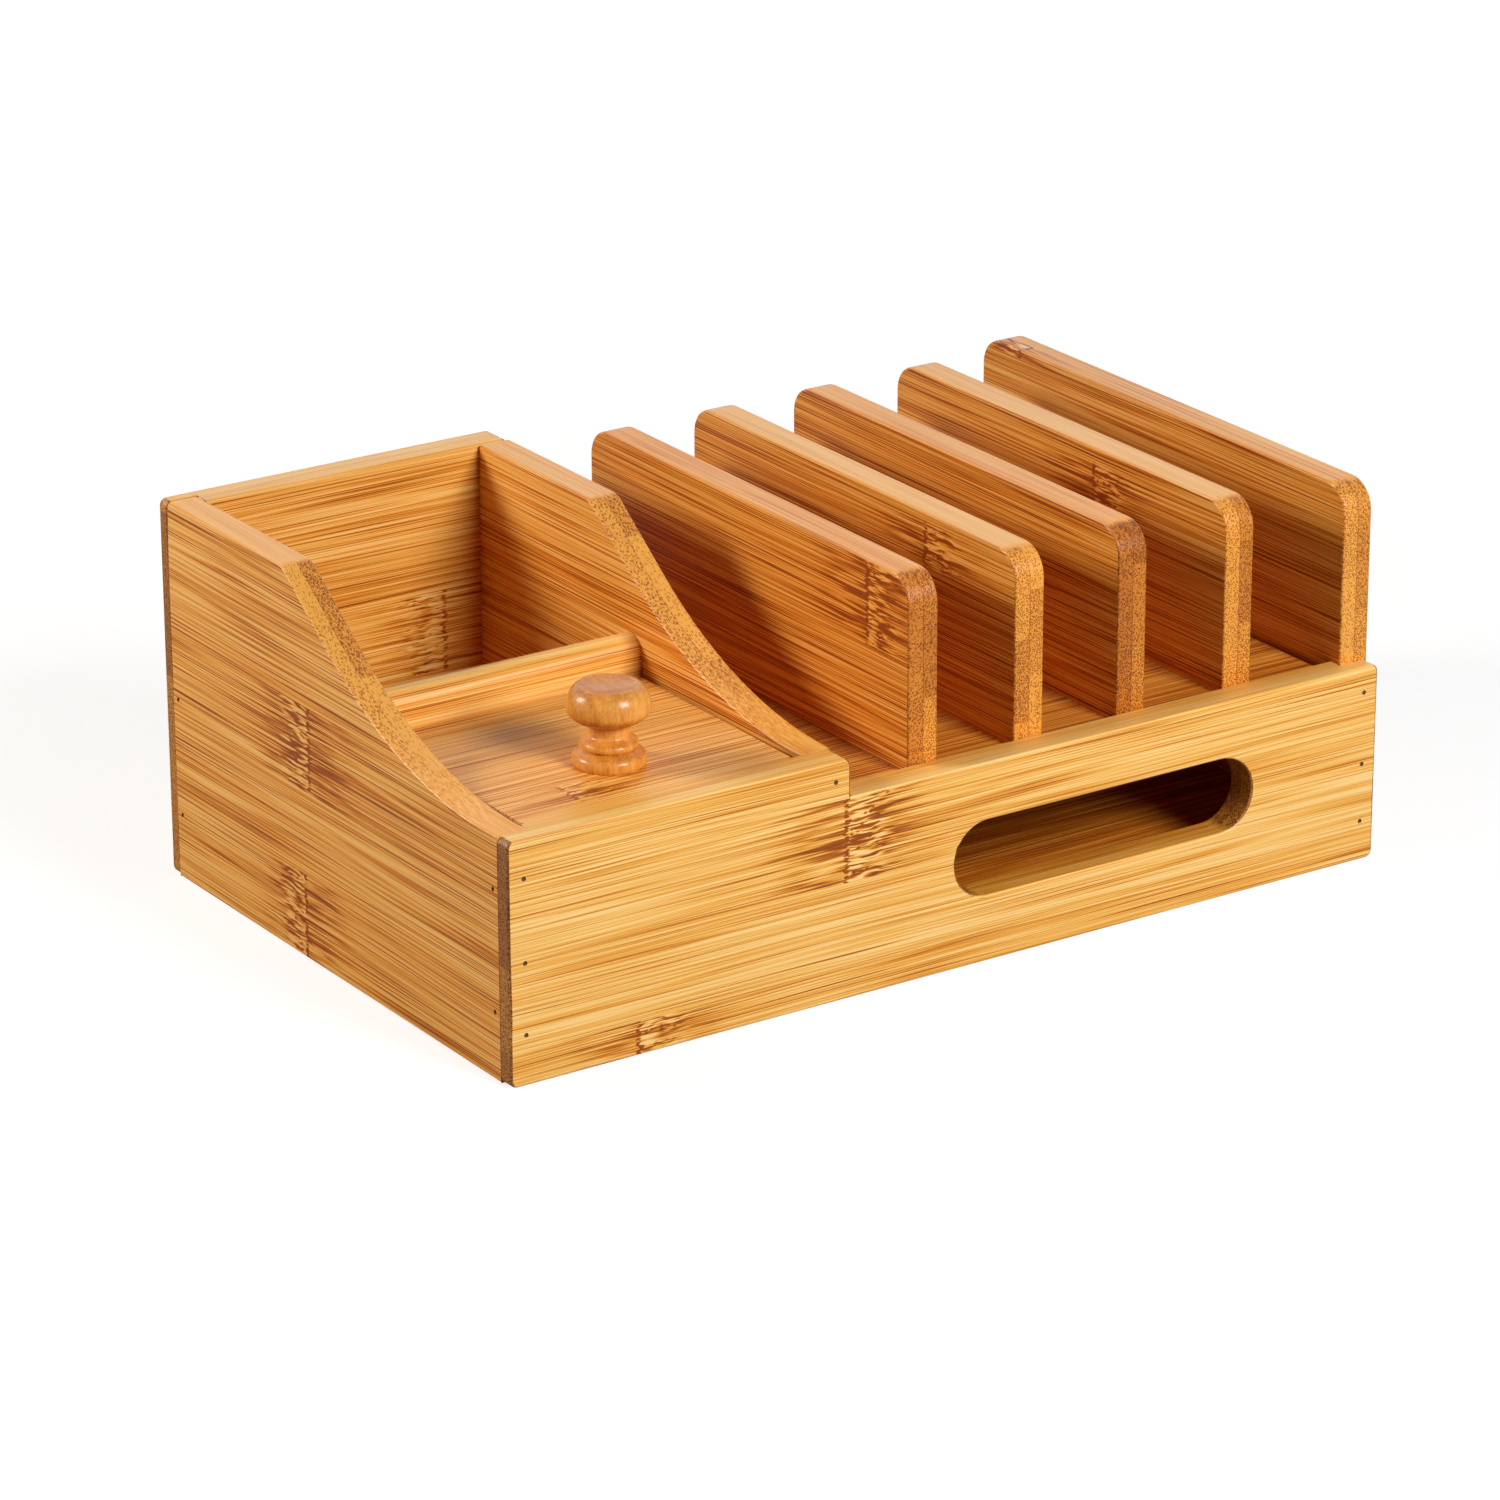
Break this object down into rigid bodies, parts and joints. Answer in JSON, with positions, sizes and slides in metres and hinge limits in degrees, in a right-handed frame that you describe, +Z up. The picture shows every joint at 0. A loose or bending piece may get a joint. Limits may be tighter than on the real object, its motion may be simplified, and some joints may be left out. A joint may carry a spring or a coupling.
{
  "type": "charging station organizer",
  "caption": "Bamboo desktop charging station: lift-out rack of device slots over a cable hollow, beside a lidded storage box with a turned knob and a tall open bin.",
  "frame": {"origin": "centre of the footprint, on the surface the organizer stands on", "axes": "+X along the front towards the device rack's far end, +Y from the front panel to the back panel, +Z up"},
  "size_m": [0.34, 0.215, 0.132],
  "materials": {
    "bamboo_front": "satin lacquer",
    "bamboo_side": "satin lacquer",
    "bamboo_rack": "satin lacquer",
    "bamboo_lid": "satin lacquer",
    "bamboo_inner": "satin lacquer",
    "turned_knob": "gloss lacquer",
    "screw_steel": "zinc plated",
    "brad_steel": "dull, filled over"
  },
  "bodies": {
    "case": {"front_panel": "bamboo_front", "back_panel": "bamboo_front", "left_side_panel": "bamboo_side", "middle_side_panel": "bamboo_side", "right_end_panel": "bamboo_side", "base_board": "bamboo_inner", "storage_divider": "bamboo_side", "lid_ledge_left": "bamboo_inner", "lid_ledge_right": "bamboo_inner", "deck_ledge_left": "bamboo_inner", "deck_ledge_right": "bamboo_inner", "base_screws": "screw_steel", "front_brads": "brad_steel", "back_brads": "brad_steel", "left_side_brads": "brad_steel", "right_side_brads": "brad_steel", "middle_brads": "brad_steel", "ledge_brads": "brad_steel"},
    "lid": {"lid": "bamboo_lid", "lid_knob": "turned_knob", "knob_screw": "screw_steel"},
    "rack": {"deck": "bamboo_rack", "divider_1": "bamboo_rack", "divider_2": "bamboo_rack", "divider_3": "bamboo_rack", "divider_4": "bamboo_rack", "divider_screws": "screw_steel"}
  },
  "joints": [
    {"name": "lid_lift", "type": "slide", "parent": "case", "child": "lid", "axis": [0, 0, 1], "range_m": [0, 0.07]},
    {"name": "rack_lift", "type": "slide", "parent": "case", "child": "rack", "axis": [0, 0, 1], "range_m": [0, 0.09]}
  ]
}
